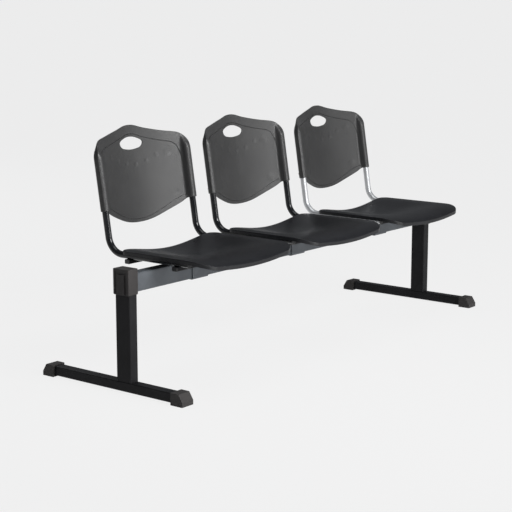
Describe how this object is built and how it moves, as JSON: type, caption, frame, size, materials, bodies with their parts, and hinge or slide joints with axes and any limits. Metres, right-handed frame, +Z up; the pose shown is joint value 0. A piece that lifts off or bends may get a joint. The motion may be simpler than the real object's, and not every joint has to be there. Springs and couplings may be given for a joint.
{
  "type": "beam seating",
  "caption": "Beam seating with plastic seat and back shells in a row, each clamped to one steel beam between two T-shaped legs with plastic foot caps.",
  "frame": {"origin": "on the floor under the middle of the overall box: X = 0 at the beam's middle, Y = 0 halfway along the feet, Z = 0 at the floor", "axes": "+X along the beam, to the right as seen by someone standing in front of the seats and facing them; -Y is the way the sitters face; +Z up"},
  "size_m": [1.793, 0.61, 0.8026],
  "materials": {
    "black_steel": "satin black powder coat",
    "black_tube": "glossy black paint",
    "silver_tube": "silver paint",
    "black_seat_plastic": "fine grain, matte",
    "dark_back_plastic": "fine grain, matte",
    "cap_plastic": "matte",
    "plug_plastic": "matte",
    "zinc_steel": "zinc plated",
    "black_screw": "black"
  },
  "bodies": {
    "root": {"back_screws_left": "black_screw", "back_screws_middle": "black_screw", "back_screws_right": "black_screw", "back_shell_left": "dark_back_plastic", "back_shell_middle": "dark_back_plastic", "back_shell_right": "dark_back_plastic", "beam_end_plate_left": "black_steel", "beam_end_plate_right": "black_steel", "beam_tube": "black_steel", "clamp_bolts_left": "zinc_steel", "clamp_bolts_middle": "zinc_steel", "clamp_bolts_right": "zinc_steel", "clamp_plate_left": "black_steel", "clamp_plate_middle": "black_steel", "clamp_plate_right": "black_steel", "clamp_strap_left": "black_steel", "clamp_strap_middle": "black_steel", "clamp_strap_right": "black_steel", "cross_bar_front_left": "black_steel", "cross_bar_front_middle": "black_steel", "cross_bar_front_right": "black_steel", "cross_bar_rear_left": "black_steel", "cross_bar_rear_middle": "black_steel", "cross_bar_rear_right": "black_steel", "end_plugs_left": "plug_plastic", "end_plugs_middle": "plug_plastic", "end_plugs_right": "plug_plastic", "foot_cap_left_back": "cap_plastic", "foot_cap_left_front": "cap_plastic", "foot_cap_right_back": "cap_plastic", "foot_cap_right_front": "cap_plastic", "foot_tube_left": "black_steel", "foot_tube_right": "black_steel", "joint_bolts_left": "zinc_steel", "joint_bolts_right": "zinc_steel", "post_left": "black_steel", "post_right": "black_steel", "seat_screws_left": "black_screw", "seat_screws_middle": "black_screw", "seat_screws_right": "black_screw", "seat_shell_left": "black_seat_plastic", "seat_shell_middle": "black_seat_plastic", "seat_shell_right": "black_seat_plastic", "side_tube_left_left": "black_tube", "side_tube_left_middle": "black_tube", "side_tube_left_right": "silver_tube", "side_tube_right_left": "black_tube", "side_tube_right_middle": "black_tube", "side_tube_right_right": "silver_tube", "top_cover_left": "cap_plastic", "top_cover_right": "cap_plastic"}
  },
  "joints": []
}
